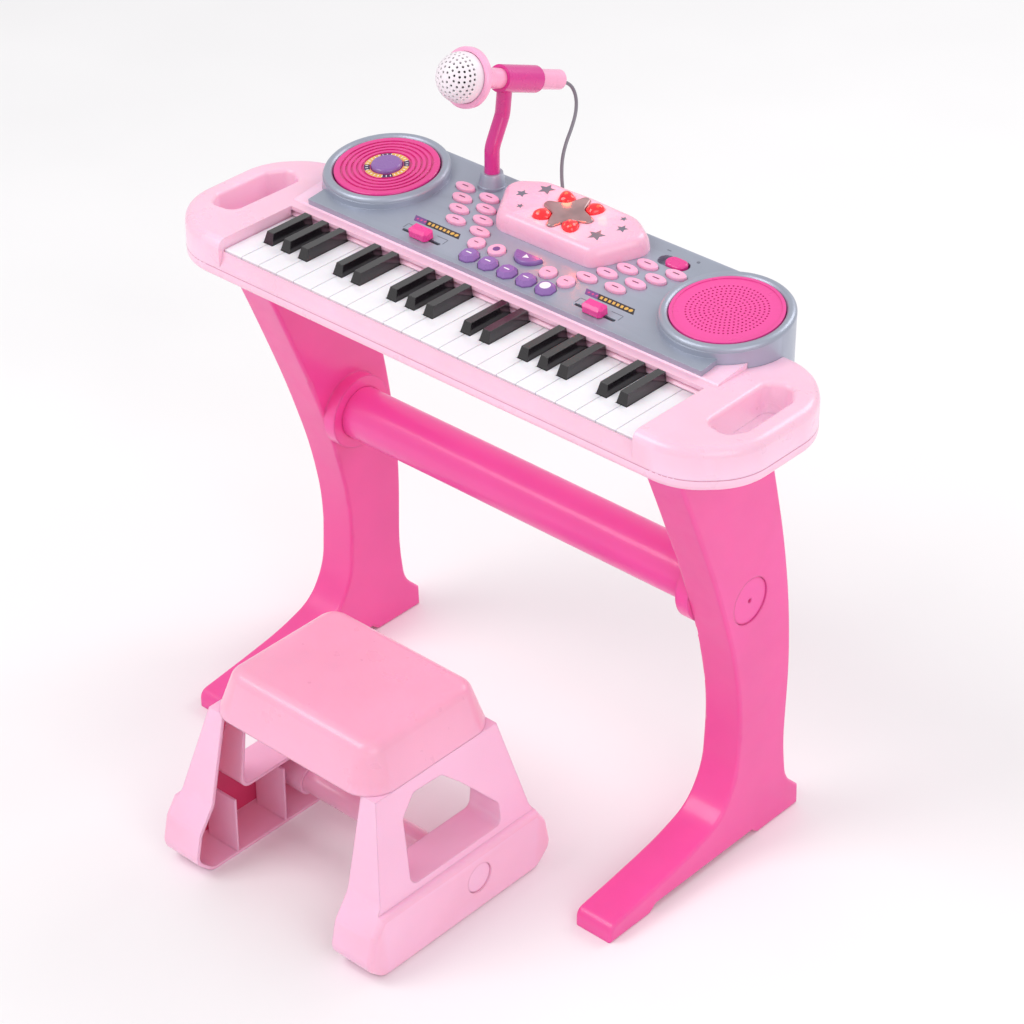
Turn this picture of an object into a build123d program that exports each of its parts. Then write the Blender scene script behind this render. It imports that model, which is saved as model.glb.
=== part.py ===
from build123d import *
from math import cos, radians, sin, tan
import os

# Toy electronic keyboard on a stand, with a microphone and a stool.
# Millimetres, +X to the player's right, +Y away from the player, +Z up, floor at Z = 0.

# ------------------------------------------------------------------ driving dimensions
KEY_PITCH = 20.0  # width of one white key and its gap
WHITE_COUNT = 22
OCTAVES = 3
BLACKS_AFTER = (0, 1, 2, 4, 5)  # white keys of an F-to-E octave that have a black key on their right
KEY_Z = 452.0  # top of the white keys
KEY_Y = -35.6  # front edge of the white keys
KEY_VISIBLE = 77.6  # white key from its front edge to the pink riser
KEY_GAP = 0.6
KEY_THICK = 9.0
KEY_LENGTH = 108.0
HINGE_Y = 104.0
HINGE_Z = -4.5
HINGE_ROD_R = 2.0
FIT = 0.1  # radial clearance of a running fit
BLACK_WIDTH = 10.4
BLACK_FRONT = 30.0
BLACK_HEIGHT = 9.5
WALL = 3.0

HALF_WIDTH = 300.0  # console, over the handles
CHEEK_TOP = 9.5
PART_LINE = -17.0  # joint between upper and lower case
CASE_BOTTOM = -27.0
CASE_FRONT = -6.0
CHEEK_REAR = 160.0
WELL_HALF = 220.7
BLOCK_HALF = 227.0
CAVITY_HALF = 207.0
TAIL_HALF = 224.0
RIB_X = 126.0

TILT = 6.4  # slope of the control deck, rising to the back
DECK_Y = 153.8
DECK_Z = 23.25
DECK_FRONT = -67.0
DECK_SKIRT = 5.0
DECK_PLATE = 2.5
POD_X = 182.0
POD_Y = 152.8
POD_R = 54.0
RIM_R = 4.2
RECESS_R = 45.7
DISC_R = 45.0
DISC_TOP = 8.6
POD_FLOOR = 0.6
DECK_REAR = 57.0
REAR = 210.4

BUTTON_GAP = 0.4
PRESS = 1.2
WEB_TOP = -3.0
WEB_THICK = 1.2
BUTTON_TOP = 2.8
OVAL = (20.0, 10.5)
ROUND_D = 15.0
DRUM_D = 18.0
SLIDER_X = 93.0
SLIDER_Y = -54.0
SLIDER_TRAVEL = 30.0
SWITCH_X = 99.5
SWITCH_Y = 35.0
SWITCH_TRAVEL = 6.0

STAR_Y = 23.5
STAR_R = 33.0
STAR_WAIST = 13.0
PETAL_AT = 19.0
LAMP_R = 2.5
LAMP_SPOTS = [(sx * PETAL_AT * 0.7071, STAR_Y + sy * PETAL_AT * 0.7071) for sx in (-1, 1) for sy in (-1, 1)]

SCREW_R = 1.5
SCREW_HEAD_R = 3.0
SCREW_BOSS_R = 5.5
SCREW_SPOTS = [(x, y) for x in (-235, 235) for y in (20, 140)] + [(x, y) for x in (-90, 90) for y in (20, 175)]
DOOR_Y = 100.0
DOOR_SIZE = (120.0, 70.0)

CUP_Y = 191.5
CUP_Z = 27.4
CUP_BASE_R = 12.5
CUP_HEIGHT = 11.0
MIC_X = -98.0
MIC_TILT = 20.1  # the microphone's head points up towards the player
STAND_R = 6.5
SLEEVE_R = 11.5
HANDLE_R = 8.5
MIC_BALL_R = 21.0
MIC_RING_R = 25.0

LEG_IN = 203.0
LEG_OUT = 241.0
BAR_Y = 123.0
BAR_Z = 252.0
BAR_R = 23.7
COLLAR_R = 34.0
PLUG_R = 20.6

STOOL_X = 13.0
STOOL_Y = -101.0
STOOL_TOP = 190.0
SEAT_DEEP = 40.0

os.makedirs("parts", exist_ok=True)


# ------------------------------------------------------------------ planes and helpers
def level(height, x=0.0, y=0.0):
    """Horizontal plane, height above the white keys, x and y from the middle of their front edge."""
    return Plane(origin=(x, KEY_Y + y, KEY_Z + height))


def side(x):
    """Upright plane across X, with local x as depth behind the key fronts and local y as height."""
    return Plane(origin=(x, KEY_Y, KEY_Z), x_dir=(0, 1, 0), z_dir=(1, 0, 0))


def deck(height, x=0.0, y=0.0):
    """Plane parallel to the control deck, x and y along it from the line between the pods."""
    base = Plane(
        origin=(0, KEY_Y + DECK_Y, KEY_Z + DECK_Z),
        x_dir=(1, 0, 0),
        z_dir=(0, -sin(radians(TILT)), cos(radians(TILT))),
    )
    return Plane(origin=base.from_local_coords((x, y, height)), x_dir=base.x_dir, z_dir=base.z_dir)


def deck_profile(along, height):
    """Depth and height of a deck point, as drawn on a side plane."""
    t = radians(TILT)
    return (DECK_Y + along * cos(t) - height * sin(t), DECK_Z + along * sin(t) + height * cos(t))


def mirrored(points):
    """A half outline, from the front centre to the rear centre, closed by its mirror image."""
    return points + [(-x, y) for x, y in reversed(points) if x > 0]


def easy_radii(points):
    """The largest bend radii that fit between a line's corners."""
    corners = [Vector(*p) for p in points]
    runs = [b - a for a, b in zip(corners, corners[1:])]
    return [0.45 * min(a.length, b.length) / tan(radians(a.get_angle(b)) / 2) for a, b in zip(runs, runs[1:])]


def save(piece, name):
    piece.part.label = name
    export_step(piece.part, f"parts/{name}.step")


def box_between(low, high, mode=Mode.ADD):
    """Box from its low corner to its high corner, measured from the keys' front edge and top."""
    size = [b - a for a, b in zip(low, high)]
    with Locations((low[0], KEY_Y + low[1], KEY_Z + low[2])):
        Box(*size, align=(Align.MIN, Align.MIN, Align.MIN), mode=mode)


# ------------------------------------------------------------------ console outlines
CHEEK = [(0, CASE_FRONT), (262, CASE_FRONT), (HALF_WIDTH, 32), (HALF_WIDTH, 122), (264, CHEEK_REAR), (0, CHEEK_REAR)]
HANDLE = [(252, 41), (274, 38), (282, 52), (281, 108), (268, 125), (250, 116)]


def cheek_shape(inset=0.0):
    with BuildSketch() as shape:
        with BuildLine():
            Polyline(*mirrored(CHEEK), close=True)
        make_face()
        fillet([v for v in shape.vertices() if abs(v.X) > 250], radius=56)
        if inset:
            offset(amount=-inset, mode=Mode.REPLACE)
    return shape.sketch


def handle_shape(grow=0.0):
    """Outlines of the two hand holes."""
    with BuildSketch() as shape:
        with BuildLine():
            Polyline(*HANDLE, close=True)
        make_face()
        fillet(shape.vertices(), radius=9)
        if grow:
            offset(amount=grow, mode=Mode.REPLACE)
        mirror(about=Plane.YZ)
    return shape.sketch


def case_shape(inset=0.0):
    """Whole console seen from above: cheeks, the block under the deck and the round pods."""
    with BuildSketch() as shape:
        add(cheek_shape())
        with Locations((0, POD_Y / 2)):
            Rectangle(2 * BLOCK_HALF, POD_Y)
        with Locations((0, REAR / 2)):
            Rectangle(2 * POD_X, REAR)
        with Locations((-POD_X, POD_Y), (POD_X, POD_Y)):
            Circle(POD_R)
        if inset:
            offset(amount=-inset, mode=Mode.REPLACE)
    return shape.sketch


# ------------------------------------------------------------------ upper case
RISER_FOOT = (KEY_VISIBLE, 0.8)
RISER_HEAD = deck_profile(DECK_FRONT, -DECK_SKIRT - 0.05)
BLOCK_REAR_TOP = deck_profile(DECK_REAR, -DECK_SKIRT - 0.2)[1]

with BuildPart() as upper_case:
    with BuildSketch(level(PART_LINE)):
        add(cheek_shape())
    extrude(amount=CHEEK_TOP - PART_LINE)
    fillet(upper_case.faces().sort_by(Axis.Z)[-1].edges(), radius=8)
    with BuildSketch(level(PART_LINE)):
        add(cheek_shape(inset=4))
    extrude(amount=CHEEK_TOP - 3.5 - PART_LINE, mode=Mode.SUBTRACT)
    # hand holes in the cheeks, with their own walls
    with BuildSketch(level(PART_LINE)):
        add(handle_shape(grow=WALL))
    extrude(amount=CHEEK_TOP - 2 - PART_LINE)
    with BuildSketch(level(PART_LINE)):
        add(handle_shape())
    extrude(amount=40, mode=Mode.SUBTRACT)
    hole_rims = upper_case.faces().sort_by(Axis.Z)[-1].inner_wires()
    fillet([e for rim in hole_rims for e in rim.edges()], radius=4)
    with BuildSketch(side(-BLOCK_HALF)):
        Polygon(
            (KEY_VISIBLE, PART_LINE), RISER_FOOT, RISER_HEAD,
            (REAR, BLOCK_REAR_TOP), (REAR, PART_LINE), align=None,
        )
    extrude(amount=2 * BLOCK_HALF)
    # the block under the deck is open above and below
    with BuildSketch(side(-CAVITY_HALF)):
        Polygon(
            (KEY_VISIBLE + WALL, PART_LINE), (KEY_VISIBLE + WALL, 1.0), (RISER_HEAD[0] + WALL, RISER_HEAD[1] - WALL),
            (RISER_HEAD[0] + WALL, 60), (REAR - WALL, 60), (REAR - WALL, PART_LINE), align=None,
        )
    extrude(amount=2 * CAVITY_HALF, mode=Mode.SUBTRACT)
    box_between(
        (-TAIL_HALF, KEY_VISIBLE + WALL, PART_LINE), (TAIL_HALF, HINGE_Y + 14, 1.0), mode=Mode.SUBTRACT
    )
    # ribs that tie the rear wall to the riser, clear of the keys
    for x in (-RIB_X, RIB_X):
        with BuildSketch(side(x - 1)):
            Polygon(
                (84, 1.5), (RISER_HEAD[0] + 1, RISER_HEAD[1] - 1), (RISER_HEAD[0] + 5, RISER_HEAD[1] - 1), (122, 6),
                (REAR - 1, 6), (REAR - 1, PART_LINE), (122, PART_LINE), (122, 1.5), align=None,
            )
        extrude(amount=2)
    # the well that the keys lie in, and the walls beside it
    for x in (-WELL_HALF - 2.5, WELL_HALF):
        box_between((x, CASE_FRONT + 3, PART_LINE), (x + 2.5, KEY_VISIBLE, CHEEK_TOP - 3.5))
    box_between((-WELL_HALF, CASE_FRONT - 5, PART_LINE - 1), (WELL_HALF, KEY_VISIBLE, 20), mode=Mode.SUBTRACT)
    box_between(
        (-WELL_HALF, CASE_FRONT - 5, PART_LINE - 1), (WELL_HALF, KEY_VISIBLE + WALL + 1, 0.8), mode=Mode.SUBTRACT
    )
    # front rail, hollowed in front below the keys
    with BuildSketch(side(-WELL_HALF)):
        with BuildLine():
            Polyline((CASE_FRONT, PART_LINE), (-1.0, PART_LINE), (-1.0, -1.5), (-2.2, -1.5))
            ThreePointArc((-2.2, -1.5), (-3.4, -9.5), (CASE_FRONT, -14.5))
            Line((CASE_FRONT, -14.5), (CASE_FRONT, PART_LINE))
        make_face()
    extrude(amount=2 * WELL_HALF)
    # room for the two pods of the control panel
    for x in (-POD_X - POD_R, POD_X):
        box_between((x, POD_Y, PART_LINE), (x + POD_R, REAR + 1, 60), mode=Mode.SUBTRACT)
    for x in (-POD_X, POD_X):
        with BuildSketch(level(PART_LINE, x, POD_Y)):
            Circle(POD_R + 0.2)
        extrude(amount=60, mode=Mode.SUBTRACT)
save(upper_case, "upper_case")

# ------------------------------------------------------------------ lower case
with BuildPart() as lower_case:
    with BuildSketch(level(CASE_BOTTOM)):
        add(case_shape())
    extrude(amount=PART_LINE - CASE_BOTTOM)
    fillet(lower_case.faces().sort_by(Axis.Z)[0].edges(), radius=5)
    with BuildSketch(level(CASE_BOTTOM + WALL)):
        add(case_shape(inset=WALL))
    extrude(amount=20, mode=Mode.SUBTRACT)
    with BuildSketch(level(CASE_BOTTOM + 1)):
        add(handle_shape(grow=WALL))
    extrude(amount=PART_LINE - CASE_BOTTOM - 1)
    with BuildSketch(level(CASE_BOTTOM - 1)):
        add(handle_shape())
    extrude(amount=40, mode=Mode.SUBTRACT)
    # screw bosses
    for x, y in SCREW_SPOTS:
        with BuildSketch(level(CASE_BOTTOM + 1, x, y)):
            Circle(SCREW_BOSS_R)
        extrude(amount=PART_LINE - CASE_BOTTOM - 1)
    for x, y in SCREW_SPOTS:
        with Locations(level(CASE_BOTTOM, x, y)):
            Cylinder(SCREW_HEAD_R + 0.5, 8, mode=Mode.SUBTRACT)
            Cylinder(SCREW_R + 0.3, 60, mode=Mode.SUBTRACT)
    # opening for the battery door
    with BuildSketch(level(CASE_BOTTOM - 1, 0, DOOR_Y)):
        RectangleRounded(DOOR_SIZE[0] + 0.8, DOOR_SIZE[1] + 0.8, 4)
    extrude(amount=8, mode=Mode.SUBTRACT)
save(lower_case, "lower_case")

with BuildPart() as battery_door:
    with BuildSketch(level(CASE_BOTTOM, 0, DOOR_Y)):
        RectangleRounded(*DOOR_SIZE, 4)
    extrude(amount=2.4)
    # thumb grooves
    for x in (-8, 0, 8):
        with Locations(level(CASE_BOTTOM, x, DOOR_Y - DOOR_SIZE[1] / 2 + 12)):
            Box(2.5, 12, 1.4, mode=Mode.SUBTRACT)
save(battery_door, "battery_door")


# ------------------------------------------------------------------ buttons: places and outlines on the deck
COLUMN_STEP = (9.2, -14.0)  # each oval sits lower and nearer the middle than the one behind it
LEFT_OUTER = [(-113 + COLUMN_STEP[0] * i, 21.6 + COLUMN_STEP[1] * i) for i in range(4)]
LEFT_INNER = [(-85 + COLUMN_STEP[0] * i, 20.0 + COLUMN_STEP[1] * i) for i in range(4)]
LEFT_ROUNDS = [(-48.0, -36.4), (-27.6, -34.6)]
DRUM_Y = -53.0
DRUM_SPOTS = [(20.4 * i, DRUM_Y) for i in range(-2, 3)]
DEMO_Y = -24.5
DEMO_HALF = 14.0
DEMO_DEEP = 13.0


def ovals(grow=0.0):
    with BuildSketch() as shape:
        with Locations(*LEFT_OUTER, *LEFT_INNER):
            Ellipse(OVAL[0] / 2 + grow, OVAL[1] / 2 + grow)
    return shape.sketch


def rounds(grow=0.0):
    with BuildSketch() as shape:
        with Locations(*LEFT_ROUNDS):
            Circle(ROUND_D / 2 + grow)
    return shape.sketch


def drums(grow=0.0):
    with BuildSketch() as shape:
        with Locations(*DRUM_SPOTS):
            RegularPolygon(DRUM_D / 2 + grow, 8, rotation=22.5)
    return shape.sketch


def demo(grow=0.0):
    """Half-moon outline with a straight rear edge."""
    with BuildSketch() as shape:
        with BuildLine():
            Line((-DEMO_HALF, DEMO_Y), (DEMO_HALF, DEMO_Y))
            ThreePointArc((DEMO_HALF, DEMO_Y), (0, DEMO_Y - DEMO_DEEP), (-DEMO_HALF, DEMO_Y))
        make_face()
        fillet(shape.vertices(), radius=1.5)
        if grow:
            offset(amount=grow, mode=Mode.REPLACE)
    return shape.sketch


def webs(spots, width=4.0):
    """Strips that join neighbouring buttons under the deck."""
    with BuildSketch() as shape:
        for (x1, y1), (x2, y2) in zip(spots, spots[1:]):
            with BuildLine():
                Line((x1, y1), (x2, y2))
            trace(line_width=width)
    return shape.sketch



# ------------------------------------------------------------------ control panel with its pods and the mic cup
DECK_HALF = 210.0
PANEL_MIDDLE = (DECK_FRONT + DECK_REAR) / 2
PANEL_DEEP = DECK_REAR - DECK_FRONT
SLOT_WIDTH = 3.4
SPINDLE_R = 5.0
SPEAKER_HOLE_R = 40.0

with BuildPart() as control_panel:
    with BuildSketch(deck(-DECK_SKIRT, y=PANEL_MIDDLE)):
        Rectangle(2 * DECK_HALF, PANEL_DEEP)
    extrude(amount=DECK_SKIRT)
    fillet(control_panel.faces().sort_by(Axis.Z)[-1].edges(), radius=1.6)
    with BuildSketch(deck(-DECK_SKIRT, y=PANEL_MIDDLE)):
        Rectangle(2 * DECK_HALF - 2 * WALL, PANEL_DEEP - 2 * WALL)
    extrude(amount=DECK_SKIRT - DECK_PLATE, mode=Mode.SUBTRACT)
    for x in (-POD_X - 60, POD_X):
        box_between((x, POD_Y, -30), (x + 60, REAR + 8, 60), mode=Mode.SUBTRACT)
    # pods: upright round walls that reach the lower case, cut off parallel to the deck
    with Locations(level(PART_LINE, -POD_X, POD_Y), level(PART_LINE, POD_X, POD_Y)):
        Cylinder(POD_R, 70, align=(Align.CENTER, Align.CENTER, Align.MIN))
    with BuildSketch(deck(5)):
        Rectangle(600, 300)
    extrude(amount=80, mode=Mode.SUBTRACT)
    with Locations(deck(5, -POD_X), deck(5, POD_X)):
        Torus(POD_R - RIM_R, RIM_R)
    # recess above each pod's floor, and the hollow below it
    for x in (-POD_X, POD_X):
        with BuildSketch(deck(POD_FLOOR, x)):
            Circle(RECESS_R)
        extrude(amount=40, mode=Mode.SUBTRACT)
    with BuildPart(mode=Mode.PRIVATE) as hollows:
        with Locations(level(PART_LINE - 1, -POD_X, POD_Y), level(PART_LINE - 1, POD_X, POD_Y)):
            Cylinder(POD_R - 2.5, 70, align=(Align.CENTER, Align.CENTER, Align.MIN))
        with BuildSketch(deck(POD_FLOOR - DECK_PLATE)):
            Rectangle(600, 300)
        extrude(amount=80, mode=Mode.SUBTRACT)
    add(hollows.part, mode=Mode.SUBTRACT)
    # notch for the ends of the keys
    box_between((-TAIL_HALF, 90, PART_LINE - 1), (TAIL_HALF, HINGE_Y + 14, 2.0), mode=Mode.SUBTRACT)
    # bearing for the turntable, with a boss below, and the speaker's opening
    with BuildSketch(deck(POD_FLOOR - 9, -POD_X)):
        Circle(SPINDLE_R + 3)
    extrude(amount=8)
    with BuildSketch(deck(POD_FLOOR - 12, -POD_X)):
        Circle(SPINDLE_R + FIT)
    extrude(amount=20, mode=Mode.SUBTRACT)
    with BuildSketch(deck(POD_FLOOR - 5, POD_X)):
        Circle(SPEAKER_HOLE_R)
    extrude(amount=10, mode=Mode.SUBTRACT)
    # cup that holds the microphone's arm
    with BuildSketch(level(CUP_Z - 3, MIC_X, CUP_Y)):
        Circle(CUP_BASE_R)
    extrude(amount=5)
    with BuildSketch(level(CUP_Z + 1.5, MIC_X, CUP_Y)):
        Circle(CUP_BASE_R - 0.8)
    extrude(amount=CUP_HEIGHT, taper=13)
    with BuildSketch(level(CUP_Z + 2, MIC_X, CUP_Y)):
        Circle(STAND_R)
    extrude(amount=20, mode=Mode.SUBTRACT)
    # openings for the lamps under the star
    with BuildSketch(deck(-10)):
        with Locations(*LAMP_SPOTS):
            Circle(LAMP_R + 0.5)
    extrude(amount=15, mode=Mode.SUBTRACT)
    # holes for the buttons, slots for the sliders and the power switch
    for outline in (ovals(BUTTON_GAP), rounds(BUTTON_GAP)):
        with BuildSketch(deck(-10)):
            add(outline)
            mirror(about=Plane.YZ)
        extrude(amount=15, mode=Mode.SUBTRACT)
    with BuildSketch(deck(-10)):
        add(drums(BUTTON_GAP))
        add(demo(BUTTON_GAP))
    extrude(amount=15, mode=Mode.SUBTRACT)
    with BuildSketch(deck(-10)):
        with Locations((-SLIDER_X, SLIDER_Y), (SLIDER_X, SLIDER_Y)):
            SlotCenterToCenter(SLIDER_TRAVEL + 8, SLOT_WIDTH)
        with Locations((SWITCH_X, SWITCH_Y)):
            SlotOverall(30, 14)
    extrude(amount=15, mode=Mode.SUBTRACT)
    # tray under the power switch
    with BuildSketch(deck(-7, SWITCH_X, SWITCH_Y)):
        SlotOverall(33, 17)
    extrude(amount=5)
    with BuildSketch(deck(-5.5, SWITCH_X, SWITCH_Y)):
        SlotOverall(30, 14)
    extrude(amount=10, mode=Mode.SUBTRACT)
save(control_panel, "control_panel")


# ------------------------------------------------------------------ buttons
def top_edges(builder, direction):
    """Edges round every face that looks along direction."""
    faces = [f for f in builder.faces() if f.normal_at().dot(direction) > 0.999]
    return [e for f in faces for e in f.edges()]


def caps(outlines, top=BUTTON_TOP, crown=1.1):
    """Buttons that stand through the deck, with softened tops."""
    with BuildPart() as buttons:
        with BuildSketch(deck(WEB_TOP - WEB_THICK)):
            for outline in outlines:
                add(outline)
        extrude(amount=top - WEB_TOP + WEB_THICK)
        fillet(top_edges(buttons, deck(0).z_dir), radius=crown)
    return buttons.part


with BuildPart() as left_buttons:
    add(caps([ovals(), rounds()]))
    with BuildSketch(deck(WEB_TOP - WEB_THICK)):
        add(webs(LEFT_OUTER))
        add(webs(LEFT_INNER + LEFT_ROUNDS))
        add(webs([LEFT_OUTER[1], LEFT_INNER[1]]))
    extrude(amount=WEB_THICK)
save(left_buttons, "left_buttons")

with BuildPart() as right_buttons:
    mirror(left_buttons.part, about=Plane.YZ)
save(right_buttons, "right_buttons")

with BuildPart() as drum_buttons:
    with BuildSketch(deck(WEB_TOP - WEB_THICK)):
        add(drums())
    extrude(amount=1.2 - WEB_TOP + WEB_THICK)
    with BuildSketch(deck(1.2)):
        add(drums())
    extrude(amount=3.2, taper=38)
    with BuildSketch(deck(WEB_TOP - WEB_THICK)):
        add(webs(DRUM_SPOTS))
    extrude(amount=WEB_THICK)
save(drum_buttons, "drum_buttons")

with BuildPart() as demo_button:
    add(caps([demo()], top=3.4, crown=1.4))
    with BuildSketch(deck(WEB_TOP - WEB_THICK)):
        add(demo(1.2))
    extrude(amount=WEB_THICK)
save(demo_button, "demo_button")


def slider_knob(x, name):
    with BuildPart() as knob:
        with Locations(deck(4.6, x, SLIDER_Y)):
            Box(20, 12, 8)
        chamfer(top_edges(knob, deck(0).z_dir), length=2.6)
        chamfer(knob.edges().filter_by(Axis((0, 0, 0), deck(0).z_dir)), length=2.2)
        with Locations(deck(-2, x, SLIDER_Y)):
            Box(8, SLOT_WIDTH - 0.6, 6)
        with Locations(deck(-4.2, x, SLIDER_Y)):
            Box(13, 8, 1.6)
    save(knob, name)
    return knob


tempo_knob = slider_knob(-SLIDER_X, "tempo_knob")
volume_knob = slider_knob(SLIDER_X, "volume_knob")

with BuildPart() as power_switch:
    with BuildSketch(deck(-5.2, SWITCH_X + SWITCH_TRAVEL / 2, SWITCH_Y)):
        SlotOverall(20, 12.8)
    extrude(amount=7.6)
    fillet(top_edges(power_switch, deck(0).z_dir), radius=1.8)
save(power_switch, "power_switch")

# ------------------------------------------------------------------ turntable and its button
GROOVES = (38.5, 34.0, 29.5, 25.0, 20.5)
HUB_R = 13.7
HUB_FLOOR = 3.8

with BuildPart() as turntable:
    with BuildSketch(deck(POD_FLOOR + 1, -POD_X)):
        Circle(DISC_R)
    extrude(amount=DISC_TOP - POD_FLOOR - 1)
    fillet(top_edges(turntable, deck(0).z_dir), radius=1.2)
    with BuildSketch(deck(DISC_TOP - 1.3, -POD_X)):
        for radius in GROOVES:
            Circle(radius + 0.9)
            Circle(radius - 0.9, mode=Mode.SUBTRACT)
    extrude(amount=3, mode=Mode.SUBTRACT)
    with BuildSketch(deck(HUB_FLOOR, -POD_X)):
        Circle(HUB_R)
    extrude(amount=8, mode=Mode.SUBTRACT)
    with BuildSketch(deck(POD_FLOOR + 1.5, -POD_X)):
        Circle(SPINDLE_R)
    extrude(amount=-11)
save(turntable, "turntable")

with BuildPart() as turntable_button:
    with BuildSketch(deck(5.6, -POD_X)):
        Circle(HUB_R - 0.4)
    extrude(amount=6.4)
    fillet(top_edges(turntable_button, deck(0).z_dir), radius=2.6)
save(turntable_button, "turntable_button")

# ------------------------------------------------------------------ loudspeaker
GRILLE_R = RECESS_R - 0.2
HOLE_FIELD_R = 36.0
HOLE_PITCH = 3.6
HOLE_R = 0.85

with BuildPart() as speaker_grille:
    with BuildSketch(deck(POD_FLOOR, POD_X)):
        Circle(GRILLE_R)
        Circle(GRILLE_R - 3, mode=Mode.SUBTRACT)
    extrude(amount=DISC_TOP - POD_FLOOR)
    with BuildSketch(deck(DISC_TOP - 2.6, POD_X)):
        Circle(GRILLE_R - 2)
        for ring in range(1, int(HOLE_FIELD_R / HOLE_PITCH)):
            with PolarLocations(ring * HOLE_PITCH, round(6.28 * ring)):
                Circle(HOLE_R, mode=Mode.SUBTRACT)
    extrude(amount=2)
    fillet(speaker_grille.edges().filter_by(GeomType.CIRCLE).sort_by(SortBy.RADIUS)[-2:], radius=0.5)
save(speaker_grille, "speaker_grille")

with BuildPart() as speaker_driver:
    with BuildSketch(deck(-5.5, POD_X)):
        Circle(POD_R - 6)
        Circle(HOLE_FIELD_R, mode=Mode.SUBTRACT)
    extrude(amount=5.5 + POD_FLOOR - DECK_PLATE)
    with BuildSketch(deck(-5.5, POD_X)):
        Circle(HOLE_FIELD_R + 1)
    with BuildSketch(deck(-14, POD_X)):
        Circle(16)
    loft()
    with BuildSketch(deck(-26, POD_X)):
        Circle(20)
    extrude(amount=12.5)
save(speaker_driver, "speaker_driver")

# ------------------------------------------------------------------ hump with the star lamp
HUMP_HALF = [(0, -10.5), (52, -10.5), (79, 36), (50, 55), (0, DECK_REAR)]
HUMP_MIDDLE = (0, 23.2)
HUMP_STEPS = [(0, 0.0), (8.0, 0.8), (13.5, 3.2), (16.5, 8.5)]  # height and how far the outline has drawn in
HUMP_WALL = 2.2


def hump_outline(draw_in):
    with BuildSketch() as shape:
        with BuildLine():
            Polyline(*mirrored(HUMP_HALF), close=True)
        make_face()
        fillet([v for v in shape.vertices() if abs(v.X) > 60], radius=15)
        fillet([v for v in shape.vertices() if 45 < abs(v.X) < 55 and v.Y > 50], radius=24)
        fillet([v for v in shape.vertices() if 45 < abs(v.X) < 55 and v.Y < -9], radius=15)
        scale(by=(1 - draw_in / 79, 1 - draw_in / 33.7, 1))
    return shape.sketch


def hump_solid(wall=0.0):
    with BuildPart() as solid:
        for height, draw_in in HUMP_STEPS:
            with BuildSketch(deck(height - wall, 0, 0)):
                with Locations((0, draw_in * HUMP_MIDDLE[1] / 33.7 + wall * HUMP_MIDDLE[1] / 33.7)):
                    add(hump_outline(draw_in + wall))
        loft()
    return solid.part


def star(grow=0.0):
    with BuildSketch() as shape:
        with Locations((0, STAR_Y)):
            with BuildLine():
                radii = (STAR_R, STAR_WAIST) * 4
                tips = [(r * cos(radians(45 * i)), STAR_Y + r * sin(radians(45 * i))) for i, r in enumerate(radii)]
                Polyline(*tips, close=True)
            make_face()
        fillet(shape.vertices(), radius=4.5)
        if grow:
            offset(amount=grow, mode=Mode.REPLACE)
    return shape.sketch


def petals(grow=0.0):
    with BuildSketch() as shape:
        for spot, turn in zip(LAMP_SPOTS, (45, -45, -45, 45)):
            with Locations(spot):
                Ellipse(10.5 + grow, 7.0 + grow, rotation=turn)
        add(star(PETAL_GAP - grow), mode=Mode.SUBTRACT)
    return shape.sketch


PETAL_GAP = 0.3
LENS_BASE = 10.5

with BuildPart() as light_hump:
    add(hump_solid())
    add(hump_solid(HUMP_WALL), mode=Mode.SUBTRACT)
    with BuildSketch(deck(-5)):
        Rectangle(300, 300)
    extrude(amount=5, mode=Mode.SUBTRACT)
    with BuildSketch(deck(5)):
        add(star(0.15))
        add(petals(0.15))
    extrude(amount=20, mode=Mode.SUBTRACT)
save(light_hump, "light_hump")

with BuildPart() as star_lens:
    with BuildSketch(deck(LENS_BASE)):
        add(star())
    extrude(amount=8.0)
    fillet(top_edges(star_lens, deck(0).z_dir), radius=1.6)
save(star_lens, "star_lens")

with BuildPart() as petal_lenses:
    with BuildSketch(deck(LENS_BASE)):
        add(petals())
    extrude(amount=7.0)
save(petal_lenses, "petal_lenses")

# ------------------------------------------------------------------ boards and the frame that the keys pivot on
with BuildPart() as circuit_board:
    with BuildSketch(level(-16.4)):
        with Locations((0, 40)):
            Rectangle(428, 62)
    extrude(amount=1.6)
    with BuildSketch(deck(-9, 0, STAR_Y)):
        Rectangle(60, 50)
    extrude(amount=1.6)
    for x, y in LAMP_SPOTS:
        with Locations(deck(-7.4, x, y)):
            Cylinder(LAMP_R, 6, align=(Align.CENTER, Align.CENTER, Align.MIN))
save(circuit_board, "circuit_board")

POST_IN = WELL_HALF - 0.2
FRAME_FLOOR = CASE_BOTTOM + WALL
with BuildPart() as key_frame:
    for x in (-POST_IN - 3, POST_IN):
        box_between((x, HINGE_Y - 5, FRAME_FLOOR), (x + 3, HINGE_Y + 5, -0.5))
    box_between((-POST_IN - 3, 62, FRAME_FLOOR), (POST_IN + 3, HINGE_Y + 8, FRAME_FLOOR + 1.5))
    for x in (-190, -130, -60, 0, 60, 130, 190):
        box_between((x - 1, 26, FRAME_FLOOR), (x + 1, 72, -16.4))
    with Locations(side(0)):
        with Locations((HINGE_Y, HINGE_Z)):
            Cylinder(HINGE_ROD_R, 2 * POST_IN + 4)
save(key_frame, "key_frame")


# ------------------------------------------------------------------ keys
def has_black(boundary):
    """True where a black key stands over the gap on the right of white key number boundary."""
    return 0 <= boundary < WHITE_COUNT - 1 and boundary % 7 in BLACKS_AFTER


def key_x(index):
    """Left edge of a white key's space."""
    return (index - WHITE_COUNT / 2) * KEY_PITCH


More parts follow.
